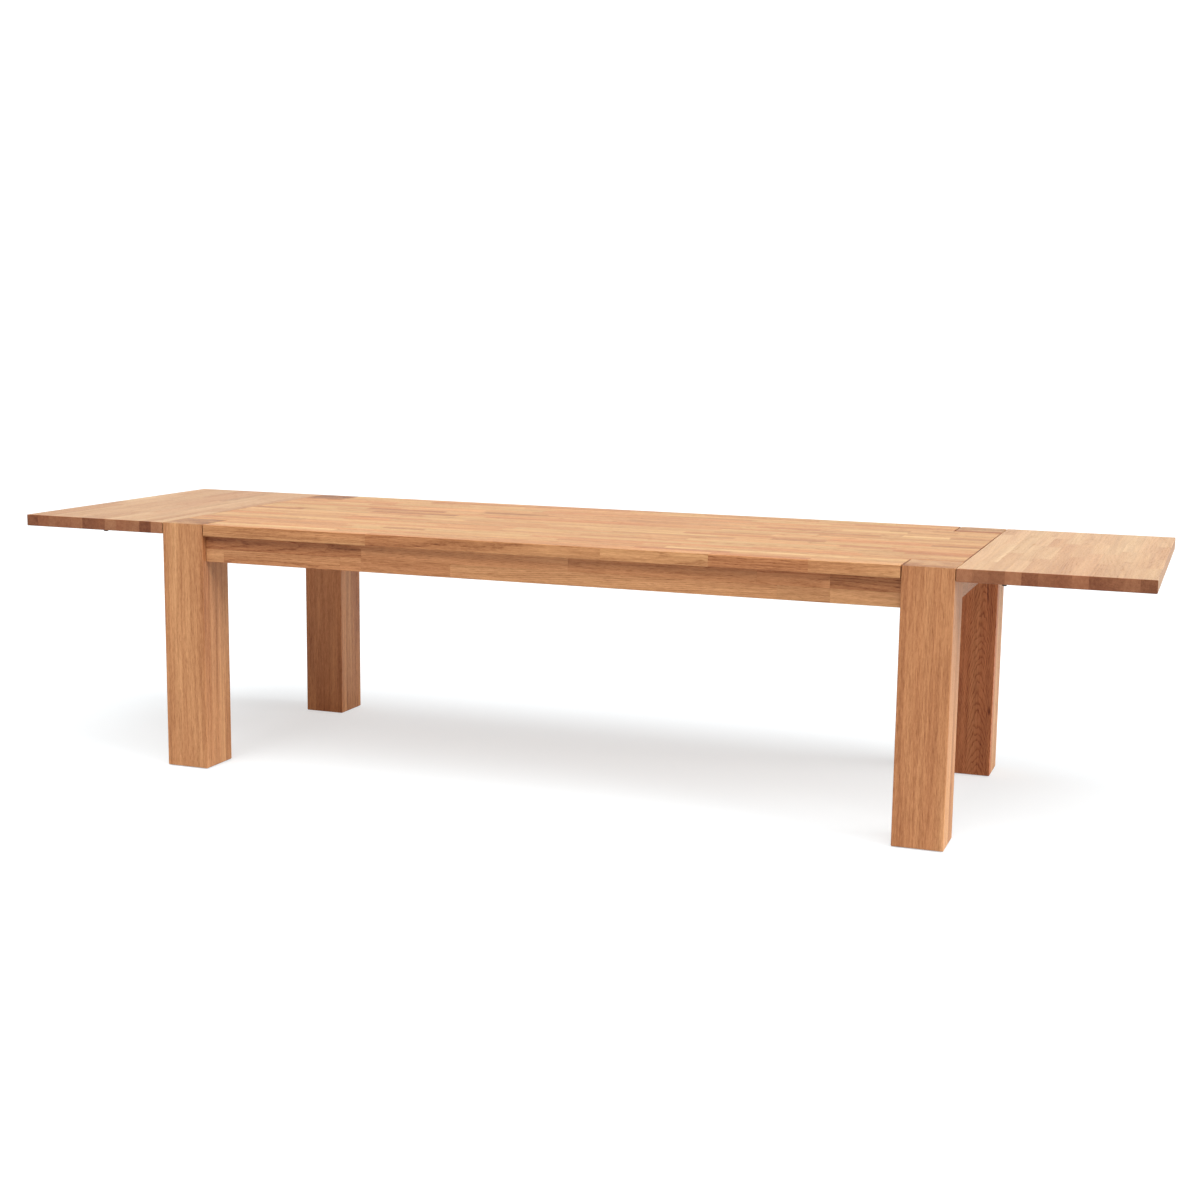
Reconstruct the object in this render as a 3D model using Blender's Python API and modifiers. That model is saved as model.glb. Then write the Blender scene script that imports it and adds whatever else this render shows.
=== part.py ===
"""Extendable dining table in solid oak, set up with an add-on leaf at each end.

Metres, +Z up. The origin is on the floor under the middle of the table, X runs along its length and
the front is towards -Y. The legs run up flush through the corners of the top. At each end two wooden
rails slide out of the end apron through guides under the top and carry a leaf, which slides onto
two pins and is held by a swinging catch. The kit of the right end is the left one turned half round.
"""
from math import asin, cos, pi, radians, sin, sqrt

import bmesh
import bpy
from mathutils import Matrix, Vector

# Driving dimensions
TABLE_LENGTH = 2.400
TABLE_WIDTH = 1.000
TABLE_HEIGHT = 0.760
LEG_SIDE = 0.140
BOARD_THICKNESS = 0.035
LEAF_REACH = 0.500
APRON_HEIGHT = 0.080
APRON_THICKNESS = 0.025
APRON_SETBACK = 0.019

# Clearances
TOUCH_GAP = 0.0003
NOTCH_GAP = 0.001
SEAM_GAP = 0.0005
SLIDE_GAP = 0.0006

# Eased edges
BOARD_EASE = 0.0015
LEG_EASE = 0.002
SMALL_EASE = 0.001

# Rails that carry the leaves
RAIL_WIDTH = 0.040
RAIL_HEIGHT = 0.026
RAIL_OUTER_Y = 0.280
RAIL_INNER_Y = 0.200
RAIL_OUT = 0.380
RAIL_IN = 0.380
GUIDE_LENGTH = 0.300
GUIDE_WALL = 0.018
GUIDE_FLOOR = 0.012
STOP_LENGTH = 0.030
PULL_FROM_END = 0.015
PULL_RADIUS = 0.0075
PULL_DROP = 0.0072

# Pins that locate a leaf
PIN_RADIUS = 0.005
PIN_Y = 0.240
PIN_IN = 0.025
PIN_OUT = 0.015

# Leaf catch
CATCH_Y = 0.339
CATCH_OUT = 0.1055
CATCH_PLATE = (0.044, 0.034, 0.0025)
CATCH_FOOT_DROP = 0.0255
CATCH_FOOT_RADIUS = 0.00625
CATCH_FOOT_HEIGHT = 0.005
CATCH_NECK_RADIUS = 0.0035
HOOK_THICKNESS = 0.004
HOOK_EYE_RADIUS = 0.0085
HOOK_WIDTH = 0.009
FINGER_WIDTH = 0.006
FINGER_LENGTH = 0.010
STUD_RADIUS = 0.0025
STUD_HEAD_RADIUS = 0.006
STUD_HEAD_LENGTH = 0.003
STUD_BITE = 0.015

# Corner plates and leg bolts
PLATE_THICKNESS = 0.003
PLATE_HEIGHT = 0.034
PLATE_LIFT = 0.003
PLATE_FLANGE = 0.045
PLATE_CLEAR = 0.010
BOLT_RADIUS = 0.004
BOLT_BITE = 0.055
BOLT_HEAD_RADIUS = 0.0075
BOLT_HEAD_HEIGHT = 0.006

# Floor glides and cross rail
GLIDE_RADIUS = 0.022
GLIDE_HEIGHT = 0.0025
CROSS_RAIL_WIDTH = 0.045
CROSS_RAIL_HEIGHT = 0.060

ROUND_STEPS = 24
SHARP_ANGLE = radians(40)

# Places worked out from the sizes above
HALF_LENGTH = TABLE_LENGTH / 2
HALF_WIDTH = TABLE_WIDTH / 2
LEG_INNER_X = HALF_LENGTH - LEG_SIDE
LEG_INNER_Y = HALF_WIDTH - LEG_SIDE
UNDERSIDE = TABLE_HEIGHT - BOARD_THICKNESS
BELOW_TOP = UNDERSIDE - TOUCH_GAP
APRON_BOTTOM = UNDERSIDE - APRON_HEIGHT
APRON_OUTER_X = HALF_LENGTH - APRON_SETBACK
APRON_INNER_X = APRON_OUTER_X - APRON_THICKNESS
APRON_OUTER_Y = HALF_WIDTH - APRON_SETBACK
APRON_INNER_Y = APRON_OUTER_Y - APRON_THICKNESS
RAIL_BOTTOM = BELOW_TOP - RAIL_HEIGHT
BOARD_MIDDLE = UNDERSIDE + BOARD_THICKNESS / 2

ENDS = {"left": -1, "right": 1}
SIDES = {"front": -1, "back": 1}


def clear_scene():
    """Remove whatever the scene holds at the start."""
    for thing in list(bpy.data.objects):
        bpy.data.objects.remove(thing, do_unlink=True)


def new_collection(name):
    """Make a collection in the scene."""
    collection = bpy.data.collections.new(name)
    bpy.context.scene.collection.children.link(collection)
    return collection


def new_material(name, colour, roughness, metallic=0.0):
    """Make a Principled material."""
    material = bpy.data.materials.new(name)
    material.use_nodes = True
    shader = material.node_tree.nodes["Principled BSDF"]
    shader.inputs["Base Color"].default_value = (*colour, 1.0)
    shader.inputs["Roughness"].default_value = roughness
    shader.inputs["Metallic"].default_value = metallic
    return material


clear_scene()
TABLE = new_collection("extendable_dining_table")
CUTTERS = new_collection("cutters")
OAK_TOP = new_material("oak_top", (0.68, 0.41, 0.22), 0.50)
OAK_LEG = new_material("oak_leg", (0.52, 0.28, 0.14), 0.55)
OAK_APRON = new_material("oak_apron", (0.46, 0.24, 0.12), 0.55)
OAK_LEAF = new_material("oak_leaf", (0.70, 0.44, 0.26), 0.50)
RAIL_WOOD = new_material("rail_wood", (0.62, 0.43, 0.26), 0.60)
DARK_STEEL = new_material("dark_steel", (0.10, 0.09, 0.08), 0.40, 1.0)
ZINC_STEEL = new_material("zinc_steel", (0.62, 0.63, 0.64), 0.35, 1.0)
GLIDE_PLASTIC = new_material("glide_plastic", (0.16, 0.13, 0.11), 0.70)


def add_object(name, mesh, material, location=(0, 0, 0), collection=TABLE):
    """Put a mesh in the scene as a named object; without a material it is a cutter."""
    thing = bpy.data.objects.new(name, mesh)
    thing.location = location
    collection.objects.link(thing)
    if material is None:
        thing.hide_render = True
        thing.display_type = "WIRE"
    else:
        mesh.materials.append(material)
    return thing


def box_mesh(name, size):
    """Make a box mesh of the given size around its own origin."""
    mesh = bpy.data.meshes.new(name)
    solid = bmesh.new()
    bmesh.ops.create_cube(solid, size=1.0, matrix=Matrix.Diagonal((*size, 1.0)))
    solid.to_mesh(mesh)
    solid.free()
    return mesh


def box(name, low, high, material, collection=TABLE):
    """Make a box between two corners, with its origin at its middle."""
    low, high = Vector(low), Vector(high)
    return add_object(name, box_mesh(name, high - low), material, (low + high) / 2, collection)


def rod_mesh(name, radius, length, steps=ROUND_STEPS):
    """Make a rod mesh that rises from its own origin along +Z."""
    mesh = bpy.data.meshes.new(name)
    solid = bmesh.new()
    bmesh.ops.create_cone(solid, cap_ends=True, segments=steps, radius1=radius, radius2=radius,
                          depth=length, matrix=Matrix.Translation((0, 0, length / 2)))
    solid.to_mesh(mesh)
    solid.free()
    mesh.shade_smooth()
    mesh.set_sharp_from_angle(angle=SHARP_ANGLE)
    return mesh


def aim(thing, direction):
    """Turn an object so that its own +Z points along a direction."""
    thing.rotation_euler = Vector(direction).to_track_quat("Z", "Y").to_euler()
    return thing


def turned(name, profile, location, material, collection=TABLE):
    """Make a turned solid from (radius, height) points that run down the outer side."""
    mesh = bpy.data.meshes.new(name)
    line = bmesh.new()
    points = [line.verts.new((radius, 0, height)) for radius, height in profile]
    for start, end in zip(points, points[1:]):
        line.edges.new((start, end))
    line.to_mesh(mesh)
    line.free()
    thing = add_object(name, mesh, material, location, collection)
    screw = thing.modifiers.new("turn", "SCREW")
    screw.steps = screw.render_steps = ROUND_STEPS
    screw.use_smooth_shade = True
    screw.use_merge_vertices = True
    screw.merge_threshold = 0.00001
    return thing


def ease(thing, width):
    """Break the sharp edges of an object."""
    bevel = thing.modifiers.new("ease", "BEVEL")
    bevel.width = width
    bevel.segments = 1
    bevel.limit_method = "ANGLE"
    bevel.angle_limit = SHARP_ANGLE


def combine(thing, tool, operation):
    """Cut a tool out of an object, or join it on."""
    boolean = thing.modifiers.new(tool.name, "BOOLEAN")
    boolean.operation = operation
    boolean.solver = "EXACT"
    boolean.object = tool


def cut_box(thing, label, low, high):
    """Cut a box out of an object."""
    combine(thing, box(f"cut_{thing.name}_{label}", low, high, None, CUTTERS), "DIFFERENCE")


def cut_rod(thing, label, start, direction, radius, length):
    """Drill an object from a point along a direction."""
    mesh = rod_mesh(f"cut_{thing.name}_{label}", radius, length)
    cutter = add_object(mesh.name, mesh, None, start, CUTTERS)
    combine(thing, aim(cutter, direction), "DIFFERENCE")


def attach(child, parent):
    """Parent an object to an unturned one without moving it."""
    child.location -= parent.location
    child.parent = parent


def tabletop():
    """The board of the top, notched for the legs and drilled for the leaf pins."""
    board = box("tabletop", (-HALF_LENGTH, -HALF_WIDTH, UNDERSIDE), (HALF_LENGTH, HALF_WIDTH, TABLE_HEIGHT),
                OAK_TOP)
    notch_x, notch_y = LEG_INNER_X - NOTCH_GAP, LEG_INNER_Y - NOTCH_GAP
    beyond = 0.010
    for end, sx in ENDS.items():
        for side, sy in SIDES.items():
            corner = Vector((sx * notch_x, sy * notch_y))
            outside = Vector((sx * (HALF_LENGTH + beyond), sy * (HALF_WIDTH + beyond)))
            low = (min(corner.x, outside.x), min(corner.y, outside.y), UNDERSIDE - beyond)
            high = (max(corner.x, outside.x), max(corner.y, outside.y), TABLE_HEIGHT + beyond)
            cut_box(board, f"notch_{end}_{side}", low, high)
    ease(board, BOARD_EASE)
    for end, sx in ENDS.items():
        for side, sy in SIDES.items():
            start = (sx * (HALF_LENGTH - PIN_IN - TOUCH_GAP), sy * PIN_Y, BOARD_MIDDLE)
            cut_rod(board, f"pin_{end}_{side}", start, (sx, 0, 0), PIN_RADIUS + TOUCH_GAP, 2 * PIN_IN)


def plate_corner(sx, sy):
    """Middle of a corner plate's slanted face, and the way its bolt runs into the leg."""
    inward = Vector((-sx, -sy, 0)) / sqrt(2)
    middle_height = APRON_BOTTOM + PLATE_LIFT + PLATE_HEIGHT / 2
    leg_edge = Vector((sx * LEG_INNER_X, sy * LEG_INNER_Y, middle_height))
    return leg_edge + inward * (PLATE_CLEAR + PLATE_THICKNESS / 2), -inward


def leg(end, side):
    """A square leg, drilled across its inner edge for the leg bolt."""
    sx, sy = ENDS[end], SIDES[side]
    inner = (sx * LEG_INNER_X, sy * LEG_INNER_Y)
    outer = (sx * HALF_LENGTH, sy * HALF_WIDTH)
    low = (min(inner[0], outer[0]), min(inner[1], outer[1]), GLIDE_HEIGHT + TOUCH_GAP)
    high = (max(inner[0], outer[0]), max(inner[1], outer[1]), TABLE_HEIGHT)
    post = box(f"leg_{end}_{side}", low, high, OAK_LEG)
    ease(post, LEG_EASE)
    start, direction = plate_corner(sx, sy)
    depth = PLATE_CLEAR + PLATE_THICKNESS / 2 + BOLT_BITE + TOUCH_GAP
    cut_rod(post, "bolt", start, direction, BOLT_RADIUS + TOUCH_GAP, depth)


def glide(end, side):
    """A round glide under a leg."""
    x = ENDS[end] * (HALF_LENGTH - LEG_SIDE / 2)
    y = SIDES[side] * (HALF_WIDTH - LEG_SIDE / 2)
    rim = GLIDE_RADIUS - GLIDE_HEIGHT / 3
    profile = ((0, GLIDE_HEIGHT), (GLIDE_RADIUS, GLIDE_HEIGHT), (GLIDE_RADIUS, GLIDE_HEIGHT / 3),
               (rim, 0), (0, 0))
    turned(f"glide_{end}_{side}", profile, (x, y, 0), GLIDE_PLASTIC)


def long_apron(side):
    """The apron under the front or back edge of the top, between the legs."""
    sy = SIDES[side]
    faces = sorted((sy * APRON_INNER_Y, sy * APRON_OUTER_Y))
    reach = LEG_INNER_X - TOUCH_GAP
    apron = box(f"apron_{side}", (-reach, faces[0], APRON_BOTTOM), (reach, faces[1], BELOW_TOP), OAK_APRON)
    ease(apron, SMALL_EASE)


def rail_place(end, side):
    """How far a rail of this end and side lies from the middle line, with its sign."""
    sx, sy = ENDS[end], SIDES[side]
    return sy * (RAIL_OUTER_Y if sx == sy else RAIL_INNER_Y)


def end_apron(end):
    """The apron between the legs of one end, open for its rails and drilled for the catch stud."""
    sx = ENDS[end]
    faces = sorted((sx * APRON_INNER_X, sx * APRON_OUTER_X))
    reach = LEG_INNER_Y - TOUCH_GAP
    apron = box(f"apron_{end}", (faces[0], -reach, APRON_BOTTOM), (faces[1], reach, BELOW_TOP), OAK_APRON)
    ease(apron, SMALL_EASE)
    beyond = 0.010
    half = RAIL_WIDTH / 2 + SLIDE_GAP
    for side in SIDES:
        y = rail_place(end, side)
        low = (faces[0] - beyond, y - half, RAIL_BOTTOM - TOUCH_GAP)
        high = (faces[1] + beyond, y + half, BELOW_TOP + beyond)
        cut_box(apron, f"rail_{side}", low, high)
    stud = stud_place(end)
    start = (sx * (APRON_OUTER_X - STUD_BITE - TOUCH_GAP), stud.y, stud.z)
    cut_rod(apron, "stud", start, (sx, 0, 0), STUD_RADIUS + TOUCH_GAP, 2 * STUD_BITE)


def rail_guide(end, side):
    """The channel that a rail runs in, behind the end apron."""
    sx = ENDS[end]
    y = rail_place(end, side)
    near = APRON_INNER_X - TOUCH_GAP
    ends = sorted((sx * near, sx * (near - GUIDE_LENGTH)))
    half = RAIL_WIDTH / 2 + SLIDE_GAP
    bottom = RAIL_BOTTOM - TOUCH_GAP
    guide = box(f"rail_guide_{end}_{side}", (ends[0], y - half - GUIDE_WALL, bottom - GUIDE_FLOOR),
                (ends[1], y + half + GUIDE_WALL, BELOW_TOP), RAIL_WOOD)
    beyond = 0.010
    cut_box(guide, "channel", (ends[0] - beyond, y - half, bottom),
            (ends[1] + beyond, y + half, BELOW_TOP + beyond))


def leaf_rail(end, side):
    """A sliding rail, with the pull button near its outer end and the stop block at its inner end."""
    sx = ENDS[end]
    y = rail_place(end, side)
    outer, inner = HALF_LENGTH + RAIL_OUT, HALF_LENGTH - RAIL_IN
    ends = sorted((sx * outer, sx * inner))
    rail = box(f"leaf_rail_{end}_{side}", (ends[0], y - RAIL_WIDTH / 2, RAIL_BOTTOM),
               (ends[1], y + RAIL_WIDTH / 2, BELOW_TOP), RAIL_WOOD)
    ease(rail, SMALL_EASE)

    waist, head_height, rounding = PULL_RADIUS * 0.6, PULL_DROP * 0.7, PULL_DROP * 0.25
    head_top = head_height - PULL_DROP
    profile = ((0, -TOUCH_GAP), (waist, -TOUCH_GAP), (waist, head_top), (PULL_RADIUS, head_top),
               (PULL_RADIUS, rounding - PULL_DROP), (PULL_RADIUS - rounding, -PULL_DROP), (0, -PULL_DROP))
    pull_x = sx * (outer - PULL_FROM_END)
    attach(turned(f"rail_pull_{end}_{side}", profile, (pull_x, y, RAIL_BOTTOM), DARK_STEEL), rail)

    guide_end = APRON_INNER_X - TOUCH_GAP - GUIDE_LENGTH
    ends = sorted((sx * (guide_end - TOUCH_GAP), sx * (guide_end - TOUCH_GAP - STOP_LENGTH)))
    top = RAIL_BOTTOM - TOUCH_GAP
    stop = box(f"rail_stop_{end}_{side}", (ends[0], y - RAIL_WIDTH / 2, top - GUIDE_FLOOR),
               (ends[1], y + RAIL_WIDTH / 2, top), RAIL_WOOD)
    ease(stop, SMALL_EASE)
    attach(stop, rail)


def leaf_pin(end, side):
    """A pin in the end of the top that locates a leaf."""
    sx = ENDS[end]
    start = (sx * (HALF_LENGTH - PIN_IN), SIDES[side] * PIN_Y, BOARD_MIDDLE)
    mesh = rod_mesh(f"leaf_pin_{end}_{side}", PIN_RADIUS, PIN_IN + PIN_OUT)
    aim(add_object(mesh.name, mesh, ZINC_STEEL, start), (sx, 0, 0))


def leaf(end):
    """An add-on leaf, drilled for the pins of the top."""
    sx = ENDS[end]
    ends = sorted((sx * (HALF_LENGTH + SEAM_GAP), sx * (HALF_LENGTH + LEAF_REACH)))
    board = box(f"leaf_{end}", (ends[0], -HALF_WIDTH, UNDERSIDE), (ends[1], HALF_WIDTH, TABLE_HEIGHT),
                OAK_LEAF)
    ease(board, BOARD_EASE)
    for side, sy in SIDES.items():
        start = (sx * (HALF_LENGTH - PIN_OUT), sy * PIN_Y, BOARD_MIDDLE)
        cut_rod(board, f"pin_{side}", start, (sx, 0, 0), PIN_RADIUS + TOUCH_GAP, 2 * PIN_OUT + TOUCH_GAP)
    return board


def catch_place(end):
    """Where the pivot of a leaf catch lies, on the underside of the leaf."""
    sx = ENDS[end]
    return Vector((sx * (HALF_LENGTH + CATCH_OUT), -sx * CATCH_Y, BELOW_TOP))


def hook_bottom():
    """Height of the hook's lower face, just above the foot of its pivot."""
    return UNDERSIDE - CATCH_FOOT_DROP + CATCH_FOOT_HEIGHT + TOUCH_GAP


def stud_place(end):
    """Where the stud of a catch stands out of the end apron, level with its axis."""
    sx = ENDS[end]
    beside = HOOK_WIDTH / 2 + STUD_HEAD_RADIUS + SLIDE_GAP
    height = hook_bottom() + HOOK_THICKNESS + STUD_RADIUS + SLIDE_GAP
    return Vector((sx * APRON_OUTER_X, -sx * (CATCH_Y + beside), height))


def catch_pivot(end, board):
    """The plate under the leaf, with the post and foot that the hook turns on."""
    place = catch_place(end)
    plate = add_object(f"catch_pivot_{end}", box_mesh(f"catch_pivot_{end}", CATCH_PLATE), DARK_STEEL,
                       place - Vector((0, 0, CATCH_PLATE[2] / 2)))
    foot = CATCH_FOOT_DROP - TOUCH_GAP
    shoulder = BELOW_TOP - hook_bottom() - HOOK_THICKNESS - TOUCH_GAP
    foot_top = foot - CATCH_FOOT_HEIGHT
    rounding = CATCH_FOOT_HEIGHT / 4
    collar = CATCH_FOOT_RADIUS
    overlap = CATCH_PLATE[2] / 2
    profile = ((0, -overlap), (collar, -overlap), (collar, -shoulder), (CATCH_NECK_RADIUS, -shoulder),
               (CATCH_NECK_RADIUS, -foot_top), (CATCH_FOOT_RADIUS, -foot_top),
               (CATCH_FOOT_RADIUS, rounding - foot), (CATCH_FOOT_RADIUS - rounding, -foot), (0, -foot))
    combine(plate, turned(f"post_{end}", profile, place, None, CUTTERS), "UNION")
    attach(plate, board)


def catch_hook(end, board):
    """The flat hook, turned away from the table, with its origin on its pivot.

    Seen from above the arm runs out from the eye and ends in a finger to one side.
    """
    sx = ENDS[end]
    half = HOOK_WIDTH / 2
    to_head = CATCH_OUT + STUD_HEAD_LENGTH + SLIDE_GAP
    reach = to_head + FINGER_WIDTH
    open_angle = asin(half / HOOK_EYE_RADIUS)
    eye = []
    arc_steps = 20
    for step in range(arc_steps + 1):
        angle = open_angle + (2 * pi - 2 * open_angle) * step / arc_steps
        eye.append((HOOK_EYE_RADIUS * cos(angle), HOOK_EYE_RADIUS * sin(angle)))
    tip = [(reach, -half), (reach, half + FINGER_LENGTH), (to_head, half + FINGER_LENGTH), (to_head, half)]
    outline = [(sx * x, sx * y) for x, y in eye + tip]

    curve = bpy.data.curves.new("hook_outline", "CURVE")
    curve.dimensions = "2D"
    curve.fill_mode = "BOTH"
    curve.extrude = HOOK_THICKNESS / 2
    spline = curve.splines.new("POLY")
    spline.points.add(len(outline) - 1)
    spline.use_cyclic_u = True
    for point, (x, y) in zip(spline.points, outline):
        point.co = (x, y, 0, 1)
    flat = bpy.data.objects.new("hook_outline", curve)
    TABLE.objects.link(flat)
    bpy.context.view_layer.update()
    mesh = bpy.data.meshes.new_from_object(flat.evaluated_get(bpy.context.evaluated_depsgraph_get()))
    bpy.data.objects.remove(flat, do_unlink=True)
    solid = bmesh.new()
    solid.from_mesh(mesh)
    bmesh.ops.remove_doubles(solid, verts=solid.verts, dist=0.00001)
    solid.to_mesh(mesh)
    solid.free()

    place = catch_place(end)
    middle = hook_bottom() + HOOK_THICKNESS / 2
    hook = add_object(f"catch_hook_{end}", mesh, DARK_STEEL, (place.x, place.y, middle))
    start = (place.x, place.y, middle - HOOK_THICKNESS)
    cut_rod(hook, "eye", start, (0, 0, 1), CATCH_NECK_RADIUS + TOUCH_GAP, 2 * HOOK_THICKNESS)
    attach(hook, board)


def catch_stud(end):
    """The headed stud in the end apron that the hook's finger slips behind."""
    sx = ENDS[end]
    neck_end = APRON_SETBACK - STUD_HEAD_LENGTH
    bite, edge = STUD_BITE, STUD_HEAD_LENGTH / 3
    profile = ((0, APRON_SETBACK), (STUD_HEAD_RADIUS - edge, APRON_SETBACK),
               (STUD_HEAD_RADIUS, APRON_SETBACK - edge), (STUD_HEAD_RADIUS, neck_end),
               (STUD_RADIUS, neck_end), (STUD_RADIUS, -bite), (0, -bite))
    aim(turned(f"catch_stud_{end}", profile, stud_place(end), ZINC_STEEL), (sx, 0, 0))


def corner_plate(end, side):
    """A bent steel plate that ties the two aprons of a corner and draws the leg in."""
    sx, sy = ENDS[end], SIDES[side]
    skin = TOUCH_GAP + PLATE_THICKNESS / 2
    face_x, face_y = APRON_INNER_X - skin, APRON_INNER_Y - skin
    slant_sum = LEG_INNER_X + LEG_INNER_Y - sqrt(2) * (PLATE_CLEAR + PLATE_THICKNESS / 2)
    bend_x, bend_y = slant_sum - face_y, slant_sum - face_x
    route = ((bend_x - PLATE_FLANGE, face_y), (bend_x, face_y),
             (face_x, bend_y), (face_x, bend_y - PLATE_FLANGE))
    bottom = APRON_BOTTOM + PLATE_LIFT
    strip = bmesh.new()
    low = [strip.verts.new((sx * x, sy * y, bottom)) for x, y in route]
    high = [strip.verts.new((sx * x, sy * y, bottom + PLATE_HEIGHT)) for x, y in route]
    for i in range(len(route) - 1):
        strip.faces.new((low[i], low[i + 1], high[i + 1], high[i]))
    mesh = bpy.data.meshes.new(f"corner_plate_{end}_{side}")
    strip.to_mesh(mesh)
    strip.free()
    plate = add_object(mesh.name, mesh, ZINC_STEEL)
    shell = plate.modifiers.new("thickness", "SOLIDIFY")
    shell.thickness = PLATE_THICKNESS
    shell.offset = 0
    shell.use_even_offset = True
    middle, direction = plate_corner(sx, sy)
    through = 2 * PLATE_THICKNESS
    cut_rod(plate, "bolt", middle - direction * through, direction, BOLT_RADIUS + TOUCH_GAP, 2 * through)


def leg_bolt(end, side):
    """The hexagon bolt that pulls a leg to its corner plate."""
    middle, direction = plate_corner(ENDS[end], SIDES[side])
    seat = middle - direction * (PLATE_THICKNESS / 2 + TOUCH_GAP)
    shank_length = TOUCH_GAP + PLATE_THICKNESS + PLATE_CLEAR + BOLT_BITE
    head_mesh = rod_mesh(f"leg_bolt_{end}_{side}", BOLT_HEAD_RADIUS, BOLT_HEAD_HEIGHT, steps=6)
    head = add_object(head_mesh.name, head_mesh, ZINC_STEEL, seat - direction * BOLT_HEAD_HEIGHT)
    overlap = BOLT_HEAD_HEIGHT / 2
    shank_mesh = rod_mesh(f"shank_{end}_{side}", BOLT_RADIUS, shank_length + overlap)
    shank = add_object(shank_mesh.name, shank_mesh, None, seat - direction * overlap, CUTTERS)
    aim(head, direction)
    combine(head, aim(shank, direction), "UNION")


def cross_rail():
    """The rail across the middle, between the long aprons."""
    reach = APRON_INNER_Y - TOUCH_GAP
    half = CROSS_RAIL_WIDTH / 2
    rail = box("cross_rail", (-half, -reach, BELOW_TOP - CROSS_RAIL_HEIGHT), (half, reach, BELOW_TOP),
               RAIL_WOOD)
    ease(rail, SMALL_EASE)


def build():
    """Make every piece of the table."""
    tabletop()
    cross_rail()
    for side in SIDES:
        long_apron(side)
    for end in ENDS:
        end_apron(end)
        catch_stud(end)
        board = leaf(end)
        catch_pivot(end, board)
        catch_hook(end, board)
        for side in SIDES:
            leg(end, side)
            glide(end, side)
            corner_plate(end, side)
            leg_bolt(end, side)
            rail_guide(end, side)
            leaf_rail(end, side)
            leaf_pin(end, side)


build()
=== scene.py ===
"""Looks of the extendable dining table: glued oak staves, wooden rails and steel hardware.

Metres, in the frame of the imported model: X along the table, -Y to the front, +Z up.
"""

import collections
import math
import random

import bmesh
import bpy
from mathutils import Matrix, Vector


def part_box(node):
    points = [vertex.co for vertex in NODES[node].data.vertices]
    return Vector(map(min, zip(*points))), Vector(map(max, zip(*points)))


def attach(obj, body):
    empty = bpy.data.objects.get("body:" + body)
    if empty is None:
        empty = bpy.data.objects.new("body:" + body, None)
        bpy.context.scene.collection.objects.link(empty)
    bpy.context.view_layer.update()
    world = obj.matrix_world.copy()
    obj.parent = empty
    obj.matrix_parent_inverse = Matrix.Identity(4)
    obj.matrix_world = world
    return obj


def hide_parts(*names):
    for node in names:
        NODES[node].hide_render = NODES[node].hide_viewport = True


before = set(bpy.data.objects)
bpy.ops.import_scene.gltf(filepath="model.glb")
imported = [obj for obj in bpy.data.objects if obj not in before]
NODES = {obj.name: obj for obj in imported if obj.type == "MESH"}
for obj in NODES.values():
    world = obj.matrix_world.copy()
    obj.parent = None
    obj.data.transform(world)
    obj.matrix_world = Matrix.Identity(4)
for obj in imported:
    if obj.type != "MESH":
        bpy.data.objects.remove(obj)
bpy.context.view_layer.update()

X, Y, Z = 0, 1, 2
ENDS = {"left": -1, "right": 1}
SIDES = {"front": -1, "back": 1}


# ---------------------------------------------------------------- shader helpers

class Nodes:
    """A node tree whose nodes are added with short calls."""

    def __init__(self, tree):
        self.tree = tree

    def put(self, socket, value):
        """Link a socket to another, or set its value."""
        if isinstance(value, bpy.types.NodeSocket):
            self.tree.links.new(value, socket)
        elif value is not None:
            socket.default_value = value

    def node(self, kind, inputs=(), **settings):
        """Add a node, with its settings and its inputs by index or name."""
        made = self.tree.nodes.new(kind)
        for key, value in settings.items():
            setattr(made, key, value)
        for key, value in dict(inputs).items():
            self.put(made.inputs[key], value)
        return made

    def math(self, operation, a, b=None, c=None, clamp=False):
        """A Math node's result."""
        settings = {"operation": operation, "use_clamp": clamp}
        return self.node("ShaderNodeMath", {0: a, 1: b, 2: c}, **settings).outputs[0]

    def times(self, vector, factors):
        """A vector times another, part by part."""
        inputs = {0: vector, 1: factors}
        return self.node("ShaderNodeVectorMath", inputs, operation="MULTIPLY").outputs["Vector"]

    def split(self, vector):
        """The three parts of a vector."""
        return self.node("ShaderNodeSeparateXYZ", {0: vector}).outputs

    def join(self, x, y, z):
        """A vector from three parts."""
        return self.node("ShaderNodeCombineXYZ", {0: x, 1: y, 2: z}).outputs[0]

    def place(self, output="Object"):
        """The place of a point, in the object's coordinates unless others are asked for."""
        return self.node("ShaderNodeTexCoord").outputs[output]

    def seen(self):
        """1 for what the camera sees itself, 0 for what lights the scene."""
        return self.node("ShaderNodeLightPath").outputs["Is Camera Ray"]

    def attribute(self, name):
        """The three parts of a named mesh attribute."""
        return self.split(self.node("ShaderNodeAttribute", attribute_name=name).outputs["Vector"])

    def noise(self, place, scale, detail, roughness=0.5):
        """A Noise Texture's value."""
        inputs = {"Vector": place, "Scale": scale, "Detail": detail, "Roughness": roughness}
        return self.node("ShaderNodeTexNoise", inputs).outputs[0]

    def remap(self, value, low, high, to_low=0.0, to_high=1.0, smooth=False):
        """Map a range of values to another, with clamping."""
        kind = "SMOOTHSTEP" if smooth else "LINEAR"
        inputs = {"Value": value, "From Min": low, "From Max": high,
                  "To Min": to_low, "To Max": to_high}
        return self.node("ShaderNodeMapRange", inputs, interpolation_type=kind).outputs[0]

    def mix(self, factor, a, b):
        """Mix two colours."""
        made = self.node("ShaderNodeMix", data_type="RGBA")
        for index, value in ((0, factor), (6, a), (7, b)):
            self.put(made.inputs[index], value)
        return made.outputs[2]

    def scale_colour(self, colour, factor):
        """A colour times a number."""
        return self.times(colour, self.join(factor, factor, factor))


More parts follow.
